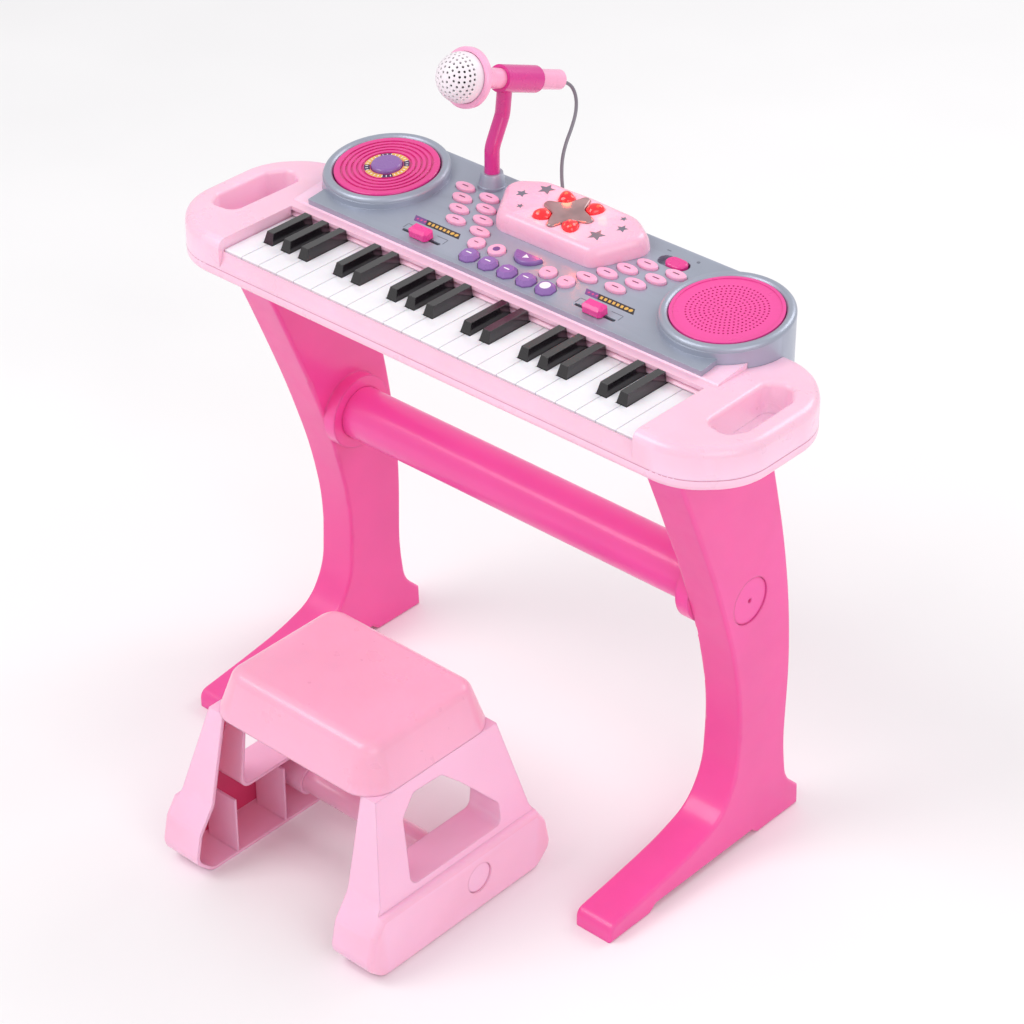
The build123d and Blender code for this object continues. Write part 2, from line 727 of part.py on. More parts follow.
def white_key(index):
    low, high = key_x(index) + KEY_GAP / 2, key_x(index + 1) - KEY_GAP / 2
    cut = BLACK_WIDTH / 2 + 0.5
    with BuildPart() as key:
        box_between((low, 0, -KEY_THICK), (high, KEY_LENGTH, 0))
        if has_black(index - 1):
            box_between((low - 1, BLACK_FRONT - 0.8, -10), (key_x(index) + cut, 120, 1), mode=Mode.SUBTRACT)
        if has_black(index):
            box_between((key_x(index + 1) - cut, BLACK_FRONT - 0.8, -10), (high + 1, 120, 1), mode=Mode.SUBTRACT)
        front = key.faces().sort_by(Axis.Y)[0]
        fillet(front.edges().sort_by(Axis.Z)[-1], radius=0.8)
        with Locations(side((low + high) / 2)):
            with Locations((HINGE_Y, HINGE_Z)):
                Cylinder(HINGE_ROD_R + FIT, 2 * KEY_PITCH, mode=Mode.SUBTRACT)
    return key


BLACK_END = 77.0
COMB_Y = 110.0

white_keys = []
for number in range(WHITE_COUNT):
    key = white_key(number)
    save(key, f"white_key_{number + 1:02d}")
    white_keys.append(key)


def black_comb(octave):
    """The five black keys of an octave, joined by a bar behind the pivot."""
    centres = [key_x(7 * octave + after + 1) for after in BLACKS_AFTER]
    half = BLACK_WIDTH / 2
    with BuildPart() as comb:
        for x in centres:
            box_between((x - half, BLACK_FRONT, -4), (x + half, BLACK_END, 0))
            with BuildSketch(level(0, x, (BLACK_FRONT + BLACK_END) / 2)):
                Rectangle(BLACK_WIDTH, BLACK_END - BLACK_FRONT)
            with BuildSketch(level(BLACK_HEIGHT, x, (BLACK_FRONT + BLACK_END) / 2 + 1.6)):
                Rectangle(BLACK_WIDTH - 3, BLACK_END - BLACK_FRONT - 3.2)
            loft()
            box_between((x - half + 0.4, BLACK_END - 2, -KEY_THICK), (x + half - 0.4, COMB_Y + 4, -0.6))
        box_between((centres[0] - half, COMB_Y, -KEY_THICK), (centres[-1] + half, COMB_Y + 4, -0.6))
        with Locations(side((centres[0] + centres[-1]) / 2)):
            with Locations((HINGE_Y, HINGE_Z)):
                Cylinder(HINGE_ROD_R + FIT, 7 * KEY_PITCH, mode=Mode.SUBTRACT)
    return comb


black_combs = []
for octave in range(OCTAVES):
    comb = black_comb(octave)
    save(comb, f"black_keys_{octave + 1}")
    black_combs.append(comb)

# ------------------------------------------------------------------ microphone, its stand and its cord
SLEEVE_Y = 222.0
SLEEVE_Z = 113.5
SLEEVE_HALF = 23.0
TAIL_AT = -57.8
RING_AT = 66.0
BALL_AT = 71.0


def mic(along):
    """Plane across the microphone's axis, looking towards its head, along from the sleeve's middle."""
    t = radians(MIC_TILT)
    head = (0, -cos(t), sin(t))
    middle = (MIC_X, KEY_Y + SLEEVE_Y, KEY_Z + SLEEVE_Z)
    return Plane(origin=[m + along * h for m, h in zip(middle, head)], x_dir=(1, 0, 0), z_dir=head)


with BuildPart() as mic_stand:
    with BuildLine(side(MIC_X)) as bend:
        FilletPolyline((CUP_Y, CUP_Z + 2), (CUP_Y, 62), (204.5, 88), (208, 118), radius=20)
    with BuildSketch(level(CUP_Z + 2, MIC_X, CUP_Y)):
        Circle(STAND_R - 0.05)
    sweep(path=bend.line)
    with BuildSketch(mic(-SLEEVE_HALF)):
        Circle(SLEEVE_R)
    extrude(amount=2 * SLEEVE_HALF)
    with BuildSketch(mic(-60)):
        Circle(HANDLE_R + FIT)
    extrude(amount=120, mode=Mode.SUBTRACT)
save(mic_stand, "mic_stand")

HANDLE_PROFILE = [  # distance along the axis and radius, from the tail to the ring
    (TAIL_AT, 0), (TAIL_AT, 6.5), (TAIL_AT + 2, HANDLE_R), (36, HANDLE_R), (44, 10), (54, 15.5), (60, 21.5),
    (61, MIC_RING_R - 1), (62.5, MIC_RING_R), (66, MIC_RING_R), (67.5, MIC_RING_R - 1), (67.5, MIC_BALL_R + 0.1),
    (RING_AT - 1, MIC_BALL_R + 0.1), (RING_AT - 1, MIC_BALL_R - 4), (56, 8), (46, 6), (46, 0),
]

with BuildPart() as mic_handle:
    axis_plane = mic(0)
    with BuildSketch(Plane(origin=axis_plane.origin, x_dir=axis_plane.z_dir, z_dir=(1, 0, 0))):
        with BuildLine():
            Polyline(*HANDLE_PROFILE, close=True)
        make_face()
    revolve(axis=Axis(axis_plane.origin, axis_plane.z_dir))
save(mic_handle, "mic_handle")

GRILLE_RINGS = [(12, 6), (24, 12), (36, 18), (48, 23), (60, 27), (71, 30)]  # angle off the axis, holes

with BuildPart() as mic_grille:
    with Locations(mic(BALL_AT)):
        Sphere(MIC_BALL_R)
        Sphere(MIC_BALL_R - 1.8, mode=Mode.SUBTRACT)
    with BuildSketch(mic(RING_AT - 1)):
        Rectangle(80, 80)
    extrude(amount=-60, mode=Mode.SUBTRACT)
    ball = mic(BALL_AT)
    for angle, count in GRILLE_RINGS:
        for step in range(count):
            turn = radians(360 * step / count + angle)
            off = radians(angle)
            direction = (sin(off) * cos(turn), sin(off) * sin(turn), cos(off))
            outward = ball.from_local_coords(direction) - ball.origin
            with Locations(Plane(origin=ball.origin + outward * MIC_BALL_R, z_dir=outward)):
                Cylinder(1.0, 8, mode=Mode.SUBTRACT)
save(mic_grille, "mic_grille")

CORD_R = 1.5
CORD_POINTS = [
    (-98, 276.3, 92.2),
    (-97.7, 288.0, 87.0),
    (-94, 292.5, 75),
    (-88, 286, 64),
    (-81, 272, 56),
    (-74, 257, 50.5),
    (-66, 243, 44),
    (-58, 233, 35),
    (-52, 228, 24),
    (-47.5, 223.5, 14),
    (-46, 214, 9),
]

with BuildPart() as mic_cord:
    points = [Vector(x, KEY_Y + y, KEY_Z + z) for x, y, z in CORD_POINTS]
    with BuildLine() as route:
        FilletPolyline(*points, radius=easy_radii(points))
    with BuildSketch(Plane(origin=points[0], z_dir=points[1] - points[0])):
        Circle(CORD_R)
    sweep(path=route.wire())
save(mic_cord, "mic_cord")

with BuildPart() as cord_grommet:
    end, before = points[-1], points[-2]
    with BuildSketch(Plane(origin=end, z_dir=end - before)):
        Circle(CORD_R + 1.6)
    extrude(amount=8)
    box_between((-60, REAR - 20, -20), (-30, REAR, 40), mode=Mode.SUBTRACT)
save(cord_grommet, "cord_grommet")

# ------------------------------------------------------------------ stand
LEG_FRONT = [
    (20, 425), (46, 365), (80, 282), (106, 205), (119, 140), (116, 75), (98, 44), (60, 31), (14, 23.5), (-42, 16),
]
LEG_SOLE = [(-42, 16), (-42, 0), (8, 0), (16, 6), (142, 6), (150, 0), (205, 0), (204, 20)]
LEG_REAR = [(204, 20), (186, 38), (180, 80), (182, 162), (177, 224), (166, 289), (150, 354), (131, 425)]
LEG_WALL = 3.5
SOCKET_END = 232.0


def stand_side(x):
    """Upright plane across X, local x as depth behind the key fronts and local y as height over the floor."""
    return Plane(origin=(x, KEY_Y, 0), x_dir=(0, 1, 0), z_dir=(1, 0, 0))


def leg_outline():
    with BuildSketch() as shape:
        with BuildLine():
            FilletPolyline(*LEG_FRONT, radius=easy_radii(LEG_FRONT))
            Polyline(*LEG_SOLE)
            FilletPolyline(*LEG_REAR, radius=easy_radii(LEG_REAR))
            Line(LEG_REAR[-1], LEG_FRONT[0])
        make_face()
        fillet([v for v in shape.vertices() if v.X < -41 and v.Y > 10], radius=9)
    return shape.sketch


with BuildPart() as right_leg:
    with BuildSketch(stand_side(LEG_IN)):
        add(leg_outline())
    extrude(amount=LEG_OUT - LEG_IN)
    fillet(right_leg.faces().filter_by(Axis.X).edges(), radius=3)
    with BuildSketch(stand_side(LEG_IN + LEG_WALL)):
        add(leg_outline())
        offset(amount=-LEG_WALL, mode=Mode.REPLACE)
    extrude(amount=LEG_OUT - LEG_IN - 2 * LEG_WALL, mode=Mode.SUBTRACT)
    # collar and socket for the crossbar, closed behind the plug
    for start, end, radius in ((LEG_IN - 12, LEG_IN + 1, COLLAR_R), (LEG_IN + 1, LEG_OUT - 1, BAR_R + 3)):
        with BuildSketch(stand_side(start)):
            with Locations((BAR_Y, BAR_Z)):
                Circle(radius)
        extrude(amount=end - start)
    with BuildSketch(stand_side(LEG_IN - 20)):
        with Locations((BAR_Y, BAR_Z)):
            Circle(BAR_R + FIT)
    extrude(amount=SOCKET_END - LEG_IN + 20, mode=Mode.SUBTRACT)
    with BuildSketch(stand_side(LEG_OUT - 4)):
        with Locations((BAR_Y, BAR_Z)):
            Circle(PLUG_R + 0.4)
    extrude(amount=10, mode=Mode.SUBTRACT)
    # vent of the blow-moulded hollow, in the sole
    with Locations(((LEG_IN + LEG_OUT) / 2, KEY_Y + 80, 0)):
        Cylinder(3, 30, mode=Mode.SUBTRACT)
save(right_leg, "right_leg")

with BuildPart() as left_leg:
    mirror(right_leg.part, about=Plane.YZ)
save(left_leg, "left_leg")

with BuildPart() as crossbar:
    with BuildSketch(stand_side(-SOCKET_END + 1)):
        with Locations((BAR_Y, BAR_Z)):
            Circle(BAR_R)
            Circle(BAR_R - 2, mode=Mode.SUBTRACT)
    extrude(amount=2 * SOCKET_END - 2)
save(crossbar, "crossbar")

with BuildPart() as leg_plugs:
    for start in (LEG_OUT - 4, -LEG_OUT + 1):
        with BuildSketch(stand_side(start)):
            with Locations((BAR_Y, BAR_Z)):
                Circle(PLUG_R)
                Circle(2, mode=Mode.SUBTRACT)
        extrude(amount=3)
save(leg_plugs, "leg_plugs")

with BuildPart() as case_screws:
    for x, y in SCREW_SPOTS:
        with Locations(level(CASE_BOTTOM + 4, x, y)):
            Cylinder(SCREW_HEAD_R, 2, align=(Align.CENTER, Align.CENTER, Align.MAX))
            Cylinder(SCREW_R, 5.5, align=(Align.CENTER, Align.CENTER, Align.MIN))
save(case_screws, "case_screws")

# ------------------------------------------------------------------ stool
STOOL_IN = 78.0
STOOL_OUT = 121.0
STOOL_SEAM = STOOL_TOP - SEAT_DEEP
SKIRT_TOP = 60.0
STOOL_BAR = (20.0, 34.0)
STOOL_BAR_R = 11.0
STOOL_PLUG_R = 13.5
STOOL_SIDE = [
    (-92, 0), (92, 0), (109, 16), (103, 44), (88, 66), (70, STOOL_SEAM),
    (-70, STOOL_SEAM), (-88, 66), (-103, 44), (-109, 16),
]
WINDOW = [(-52, 66), (-46, 124), (-30, 139), (2, 138), (20, 122), (56, 84), (54, 66)]


def stool_side_plane(x):
    return Plane(origin=(STOOL_X + x, KEY_Y + STOOL_Y, 0), x_dir=(0, 1, 0), z_dir=(1, 0, 0))


def window(grow=0.0):
    with BuildSketch() as shape:
        with BuildLine():
            Polyline(*WINDOW, close=True)
        make_face()
        fillet(shape.vertices(), radius=7)
        if grow:
            offset(amount=grow, mode=Mode.REPLACE)
    return shape.sketch


def stool_block(inset=0.0):
    """One side of the stool: a foot, and above it a web that leans in towards the seat."""
    with BuildPart() as block:
        with BuildSketch(stool_side_plane(STOOL_IN)) as stool_outline:
            with BuildLine():
                Polyline(*STOOL_SIDE, close=True)
            make_face()
            fillet([v for v in stool_outline.vertices() if v.Y < 140], radius=14)
            if inset:
                offset(amount=-inset, kind=Kind.INTERSECTION, mode=Mode.REPLACE)
        extrude(amount=STOOL_OUT - STOOL_IN - inset)
        with BuildSketch(Plane(origin=(STOOL_X, KEY_Y + STOOL_Y + 150, 0), x_dir=(1, 0, 0), z_dir=(0, -1, 0))):
            Polygon(
                (STOOL_OUT - 6 - inset, SKIRT_TOP - inset / 2), (STOOL_OUT + 9, SKIRT_TOP - inset / 2),
                (STOOL_OUT + 9, STOOL_SEAM + 5), (94 - inset, STOOL_SEAM + 5), (94 - inset, STOOL_SEAM), align=None,
            )
        extrude(amount=300, mode=Mode.SUBTRACT)
    return block


with BuildPart() as stool_right_side:
    add(stool_block().part)
    fillet(stool_right_side.faces().sort_by(Axis.X)[-1].edges(), radius=5)
    add(stool_block(WALL).part, mode=Mode.SUBTRACT)
    with BuildSketch(stool_side_plane(STOOL_IN - 5)):
        Rectangle(400, 400)
    extrude(amount=5, mode=Mode.SUBTRACT)
    # ribs across the hollow foot
    for along in (-62, -6, 78):
        with BuildSketch(stool_side_plane(STOOL_IN)):
            with Locations((along, SKIRT_TOP / 2)):
                Rectangle(2, SKIRT_TOP - 6)
        extrude(amount=STOOL_OUT - STOOL_IN - 8)
    # window with a wall all round it
    with BuildPart(mode=Mode.PRIVATE) as window_wall:
        with BuildSketch(stool_side_plane(STOOL_IN)):
            add(window(WALL))
        extrude(amount=60)
        add(stool_block().part, mode=Mode.INTERSECT)
    add(window_wall.part)
    with BuildSketch(stool_side_plane(STOOL_IN - 5)):
        add(window())
    extrude(amount=60, mode=Mode.SUBTRACT)
    # socket for the stool's crossbar and recess for its plug
    with BuildSketch(stool_side_plane(STOOL_IN - 6)):
        with Locations(STOOL_BAR):
            Circle(STOOL_BAR_R + 3)
    extrude(amount=STOOL_OUT - STOOL_IN + 5)
    with BuildSketch(stool_side_plane(STOOL_IN - 8)):
        with Locations(STOOL_BAR):
            Circle(STOOL_BAR_R + FIT)
    extrude(amount=STOOL_OUT - STOOL_IN + 1, mode=Mode.SUBTRACT)
    with BuildSketch(stool_side_plane(STOOL_OUT - 4)):
        with Locations(STOOL_BAR):
            Circle(STOOL_PLUG_R + 0.3)
    extrude(amount=10, mode=Mode.SUBTRACT)
save(stool_right_side, "stool_right_side")

with BuildPart() as stool_left_side:
    mirror(stool_right_side.part, about=Plane.YZ.offset(STOOL_X))
save(stool_left_side, "stool_left_side")

with BuildPart() as stool_crossbar:
    with BuildSketch(stool_side_plane(-STOOL_OUT + 7)):
        with Locations(STOOL_BAR):
            Circle(STOOL_BAR_R)
            Circle(STOOL_BAR_R - 2, mode=Mode.SUBTRACT)
    extrude(amount=2 * STOOL_OUT - 14)
save(stool_crossbar, "stool_crossbar")

with BuildPart() as stool_plugs:
    for start in (STOOL_OUT - 4, -STOOL_OUT + 1.5):
        with BuildSketch(stool_side_plane(start)):
            with Locations(STOOL_BAR):
                Circle(STOOL_PLUG_R)
        extrude(amount=2.5)
save(stool_plugs, "stool_plugs")

SEAT_BASE = (188.0, 150.0)
SEAT_TAPER = 19.0
with BuildPart() as stool_seat:
    with BuildSketch(Plane(origin=(STOOL_X, KEY_Y + STOOL_Y, STOOL_SEAM))):
        RectangleRounded(*SEAT_BASE, 28)
    extrude(amount=SEAT_DEEP, taper=SEAT_TAPER)
    fillet(stool_seat.faces().sort_by(Axis.Z)[-1].edges(), radius=12)
    with BuildSketch(Plane(origin=(STOOL_X, KEY_Y + STOOL_Y, STOOL_SEAM))):
        RectangleRounded(SEAT_BASE[0] - 2 * WALL, SEAT_BASE[1] - 2 * WALL, 25)
    extrude(amount=SEAT_DEEP - 6, taper=SEAT_TAPER, mode=Mode.SUBTRACT)
save(stool_seat, "stool_seat")
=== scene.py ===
import bpy
from math import atan2, cos, pi, radians, sin
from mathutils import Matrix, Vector
from mathutils.bvhtree import BVHTree


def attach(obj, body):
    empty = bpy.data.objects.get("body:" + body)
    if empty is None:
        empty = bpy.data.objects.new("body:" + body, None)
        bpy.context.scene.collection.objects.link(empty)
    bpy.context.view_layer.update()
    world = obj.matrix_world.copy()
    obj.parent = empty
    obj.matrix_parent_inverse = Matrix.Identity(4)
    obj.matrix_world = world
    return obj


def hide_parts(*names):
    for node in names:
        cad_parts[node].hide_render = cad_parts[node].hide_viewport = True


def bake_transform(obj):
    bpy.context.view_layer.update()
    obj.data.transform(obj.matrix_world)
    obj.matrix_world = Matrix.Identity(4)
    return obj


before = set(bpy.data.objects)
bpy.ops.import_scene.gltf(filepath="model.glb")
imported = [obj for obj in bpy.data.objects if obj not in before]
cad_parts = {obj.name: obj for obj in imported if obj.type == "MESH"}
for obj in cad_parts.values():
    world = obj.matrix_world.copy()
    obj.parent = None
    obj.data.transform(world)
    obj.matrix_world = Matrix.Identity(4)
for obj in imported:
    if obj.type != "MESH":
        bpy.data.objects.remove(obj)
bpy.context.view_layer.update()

# ------------------------------------------------------------------ places, in millimetres as in part.py
KEY_Y = -35.6  # front edge of the white keys
KEY_Z = 452.0  # top of the white keys
PART_LINE = -17.0  # joint between the cases, from the top of the white keys

# the deck is the sloping top of the control panel; its own x and y start at its middle
TILT = radians(6.4)
DECK_Y, DECK_Z = 153.8, 23.25
POD_X = 182.0  # middle of the turntable
SLIDER_X, SLIDER_Y = 93.0, -54.0
LABEL_X, LABEL_Y = 92.5, -36.0
POWER_X, POWER_Y = 93.0, 47.0
DRUM_Y, DRUM_STEP = -53.0, 20.4
OUTER_BUTTONS = [(113 - 9.2 * i, 21.6 - 14.0 * i) for i in range(4)]
INNER_BUTTONS = [(85 - 9.2 * i, 20.0 - 14.0 * i) for i in range(4)]
ROUND_BUTTONS = [(48.0, -36.4), (27.6, -34.6)]

STAR_Y = 23.5  # middle of the star lens on the deck
LENS_BASE = 10.5  # underside of the lenses, above the deck
LAMP_AT = 19.0  # lamps, from the star's middle both ways
HUMP_STARS = [  # x, y and radius
    (-38.0, 40.0, 8.0), (-50.7, 23.6, 5.6), (-39.3, 8.7, 3.6),
    (39.7, 11.5, 8.0), (50.6, 30.5, 5.4), (42.4, 42.3, 3.4),
]

STOOL_X = 13.0
STOOL_WALL_X = 79.0  # where the stool sides' walls start, from the stool's middle

# the microphone lies along an axis through the middle of its sleeve
MIC_X, SLEEVE_Y, SLEEVE_Z = -98.0, 222.0, 113.5
MIC_TILT = radians(20.1)
MIC_BALL_R, MIC_BALL_AT = 21.0, 71.0

CORD_R = 1.5
CORD_POINTS = [  # x, then from the keys' front edge and top
    (-98, 276.3, 92.2), (-97.7, 288.0, 87.0), (-94, 292.5, 75), (-88, 286, 64), (-81, 272, 56), (-74, 257, 50.5),
    (-66, 243, 44), (-58, 233, 35), (-52, 228, 24), (-47.5, 223.5, 14), (-46, 214, 9),
]


def place(x, y, z):
    """World point in metres from millimetres behind the keys' front edge and above their top."""
    return Vector((x, KEY_Y + y, KEY_Z + z)) / 1000


def deck(x, y, height=0.0):
    """World point on or above the sloping control deck."""
    along = DECK_Y + y * cos(TILT) - height * sin(TILT)
    up = DECK_Z + y * sin(TILT) + height * cos(TILT)
    return place(x, along, up)


DECK_NORMAL = Vector((0, -sin(TILT), cos(TILT)))
DECK_ALONG = Vector((0, cos(TILT), sin(TILT)))


def mic(along, across=0.0, up=0.0):
    """World point by the microphone's axis, along it towards the head."""
    head = Vector((0, -cos(MIC_TILT), sin(MIC_TILT)))
    rise = Vector((0, sin(MIC_TILT), cos(MIC_TILT)))
    return place(MIC_X, SLEEVE_Y, SLEEVE_Z) + (along * head + across * Vector((1, 0, 0)) + up * rise) / 1000


# ------------------------------------------------------------------ camera and light
AZIMUTH, ELEVATION = radians(41.948), radians(33.237)
camera = bpy.data.objects.new("camera", bpy.data.cameras.new("camera"))
camera.data.lens = 108.87
camera.data.sensor_width = 36
camera.data.clip_end = 50
camera.location = place(1450.94, -1507.32, 1209.42)
look = Vector((-sin(AZIMUTH) * cos(ELEVATION), cos(AZIMUTH) * cos(ELEVATION), -sin(ELEVATION)))
camera.rotation_euler = look.to_track_quat("-Z", "Y").to_euler()
bpy.context.collection.objects.link(camera)
bpy.context.scene.camera = camera


def soft_light(name, spot, target, size, power):
    lamp = bpy.data.objects.new(name, bpy.data.lights.new(name, "AREA"))
    lamp.data.shape = "DISK"
    lamp.data.size = size
    lamp.data.energy = power
    lamp.location = spot
    lamp.rotation_euler = (Vector(target) - Vector(spot)).to_track_quat("-Z", "Y").to_euler()
    bpy.context.collection.objects.link(lamp)


soft_light("key_light", (-1.2, -1.6, 2.6), (0, 0, 0.3), 1.8, 34)
soft_light("fill_light", (2.4, -1.0, 1.6), (0, 0, 0.3), 2.0, 18)
soft_light("rim_light", (0.6, 2.2, 2.2), (0, 0, 0.4), 1.6, 22)

world = bpy.data.worlds.new("studio")
world.use_nodes = True
world.node_tree.nodes["Background"].inputs["Color"].default_value = (1, 1, 1, 1)
world.node_tree.nodes["Background"].inputs["Strength"].default_value = 0.7
bpy.context.scene.world = world
bpy.context.scene.view_settings.view_transform = "Standard"


# ------------------------------------------------------------------ materials
def linear(srgb):
    """Linear colour from 0 to 255 screen values."""
    def channel(v):
        v /= 255
        return v / 12.92 if v <= 0.04045 else ((v + 0.055) / 1.055) ** 2.4
    return tuple(channel(v) for v in srgb) + (1.0,)


def shade(colour, gain):
    return tuple(min(1.0, c * gain) for c in colour[:3]) + (1.0,)


def new_material(name):
    material = bpy.data.materials.new(name)
    material.use_nodes = True
    return material, material.node_tree, material.node_tree.nodes["Principled BSDF"]


def noise(tree, scale, detail=2.0):
    node = tree.nodes.new("ShaderNodeTexNoise")
    node.inputs["Scale"].default_value = scale
    node.inputs["Detail"].default_value = detail
    coordinates = tree.nodes.new("ShaderNodeTexCoord")
    tree.links.new(coordinates.outputs["Object"], node.inputs["Vector"])
    return node.outputs["Fac"]


def ranged(tree, socket, low, high, start=0.3, end=0.7):
    """The part of a socket's value from start to end, spread from low to high."""
    node = tree.nodes.new("ShaderNodeMapRange")
    node.inputs["From Min"].default_value = start
    node.inputs["From Max"].default_value = end
    node.inputs["To Min"].default_value = low
    node.inputs["To Max"].default_value = high
    tree.links.new(socket, node.inputs["Value"])
    return node.outputs["Result"]


def tinted(tree, factor, low, high):
    node = tree.nodes.new("ShaderNodeMix")
    node.data_type = "RGBA"
    node.inputs["A"].default_value = low
    node.inputs["B"].default_value = high
    tree.links.new(factor, node.inputs["Factor"])
    return node


def mottled(tree, field, low, high):
    """A colour that drifts between two with a noise field."""
    return tinted(tree, ranged(tree, field, 0, 1), low, high).outputs["Result"]


def moulded(name, srgb, rough=0.28, coat=0.3, grain=0.06, grain_scale=700, edge=0.0009, metallic=0.0, soft=0.0):
    """Injection-moulded plastic: faint mottling, fine grain, uneven gloss, softened edges, and paler edges that are
    partly wear and partly a painted highlight.
    """
    material, tree, shader = new_material(name)
    colour = linear(srgb)
    geometry = tree.nodes.new("ShaderNodeNewGeometry")
    # convex edges painted paler: partly edge wear, partly a painted highlight
    wear_and_highlight = ranged(tree, geometry.outputs["Pointiness"], 0, 0.35, 0.52, 0.6)
    edged = tinted(tree, wear_and_highlight, colour, shade(colour, 1.35))
    cloud = mottled(tree, noise(tree, 14, 3), shade(colour, 0.95), shade(colour, 1.04))
    tree.links.new(cloud, edged.inputs["A"])
    tree.links.new(edged.outputs["Result"], shader.inputs["Base Color"])
    smear = noise(tree, 55, 4)
    tree.links.new(ranged(tree, smear, rough - 0.04, rough + 0.07), shader.inputs["Roughness"])
    bump = tree.nodes.new("ShaderNodeBump")
    bump.inputs["Strength"].default_value = grain
    bump.inputs["Distance"].default_value = 0.0004
    tree.links.new(noise(tree, grain_scale, 2), bump.inputs["Height"])
    if edge:
        rounding = tree.nodes.new("ShaderNodeBevel")
        rounding.samples = 4
        rounding.inputs["Radius"].default_value = edge
        tree.links.new(rounding.outputs["Normal"], bump.inputs["Normal"])
    tree.links.new(bump.outputs["Normal"], shader.inputs["Normal"])
    shader.inputs["Metallic"].default_value = metallic
    shader.inputs["Coat Weight"].default_value = coat
    shader.inputs["Coat Roughness"].default_value = 0.12
    if soft:
        shader.inputs["Subsurface Weight"].default_value = soft
        shader.inputs["Subsurface Scale"].default_value = 0.004
    return material


def printed(name, srgb):
    """A thin film of ink: a touch uneven, a little duller than the plastic."""
    return moulded(name, srgb, rough=0.42, coat=0.05, grain=0.25, grain_scale=2600, edge=0)


def smoked_lens():
    material, tree, shader = new_material("smoked_lens")
    cloud = noise(tree, 60, 2)
    grey = mottled(tree, cloud, linear((150, 132, 136)), linear((178, 158, 162)))
    tree.links.new(grey, shader.inputs["Base Color"])
    tree.links.new(ranged(tree, cloud, 0.12, 0.2), shader.inputs["Roughness"])
    shader.inputs["Transmission Weight"].default_value = 0.2
    shader.inputs["Metallic"].default_value = 0.35
    shader.inputs["IOR"].default_value = 1.46
    shader.inputs["Coat Weight"].default_value = 0.5
    return material


def lit_lens():
    """Red lens over a lit lamp: white-hot in the middle, orange round it, red at the rim."""
    material, tree, shader = new_material("lit_lens")
    heat = tree.nodes.new("ShaderNodeAttribute")
    heat.attribute_name = "heat"
    ramp = tree.nodes.new("ShaderNodeValToRGB")
    stops = ramp.color_ramp.elements
    stops[0].position, stops[0].color = 0.0, linear((214, 26, 36))
    stops[1].position, stops[1].color = 0.95, linear((255, 244, 214))
    stops.new(0.55).color = linear((240, 60, 40))
    stops.new(0.8).color = linear((255, 150, 84))
    tree.links.new(heat.outputs["Fac"], ramp.inputs["Fac"])
    tree.links.new(ramp.outputs["Color"], shader.inputs["Emission Color"])
    tree.links.new(ranged(tree, heat.outputs["Fac"], 0.35, 2.2, 0.0, 1.0), shader.inputs["Emission Strength"])
    red = mottled(tree, noise(tree, 260, 2), linear((196, 20, 34)), linear((222, 34, 44)))
    tree.links.new(red, shader.inputs["Base Color"])
    shader.inputs["Roughness"].default_value = 0.12
    shader.inputs["Coat Weight"].default_value = 0.6
    return material


shell_pink = moulded("shell_pink", (249, 196, 219), rough=0.3, edge=0.0012, soft=0.1)
leg_pink = moulded("leg_pink", (240, 76, 158), rough=0.34, grain=0.12, grain_scale=420, edge=0.003, soft=0.1)
knob_pink = moulded("knob_pink", (228, 52, 142), rough=0.25)
arm_pink = moulded("arm_pink", (205, 46, 138), rough=0.25)
disc_pink = moulded("disc_pink", (226, 44, 140), rough=0.22, coat=0.5)
seat_pink = moulded("seat_pink", (247, 172, 200), rough=0.3, edge=0.002, soft=0.1)
foot_pink = moulded("foot_pink", (250, 184, 212), rough=0.32, edge=0.002, soft=0.1)
# painted shade for the self-shadowed insides of the stool sides
painted_shade_pink = moulded("painted_shade_pink", (226, 70, 120), rough=0.4, edge=0)
hump_pink = moulded("hump_pink", (250, 186, 212), rough=0.26, coat=0.4, edge=0.0015, soft=0.1)
pad_pink = moulded("pad_pink", (248, 176, 208), rough=0.36, coat=0.1, soft=0.2)
ring_pink = moulded("ring_pink", (247, 170, 204), rough=0.25)
purple = moulded("purple", (140, 98, 168), rough=0.24)
grille_pink = moulded("grille_pink", (233, 66, 152), rough=0.3, edge=0.0004)
silver = moulded("silver", (166, 172, 188), rough=0.36, metallic=0.5, grain=0.25, grain_scale=2400)
ivory = moulded("ivory", (238, 231, 241), rough=0.16, coat=0.6, grain=0.02, edge=0.0006, soft=0.08)
black = moulded("black", (26, 22, 26), rough=0.16, coat=0.7, grain=0.02)
mic_white = moulded("mic_white", (240, 228, 236), rough=0.4, coat=0.1)
cord_grey = moulded("cord_grey", (128, 124, 134), rough=0.5, coat=0.0, grain=0.3, grain_scale=1500, edge=0)
dark = moulded("dark", (40, 38, 44), rough=0.5, coat=0.0)
board_green = moulded("board_green", (30, 92, 58), rough=0.4)
steel = moulded("steel", (170, 172, 178), rough=0.3, metallic=1.0, coat=0.0, grain=0.3, grain_scale=1800)
foam = moulded("foam", (70, 62, 70), rough=0.9, coat=0.0, grain=1.0, grain_scale=900, edge=0)

seam_pink = printed("seam_pink", (206, 130, 160))
ink_purple = printed("ink_purple", (118, 74, 140))
ink_plum = printed("ink_plum", (72, 40, 82))
ink_gold = printed("ink_gold", (226, 176, 84))
ink_dark = printed("ink_dark", (48, 42, 50))
ink_rose = printed("ink_rose", (226, 70, 140))
ink_white = printed("ink_white", (244, 238, 244))
ink_grey = printed("ink_grey", (112, 116, 130))
ink_dash = printed("ink_dash", (120, 44, 84))

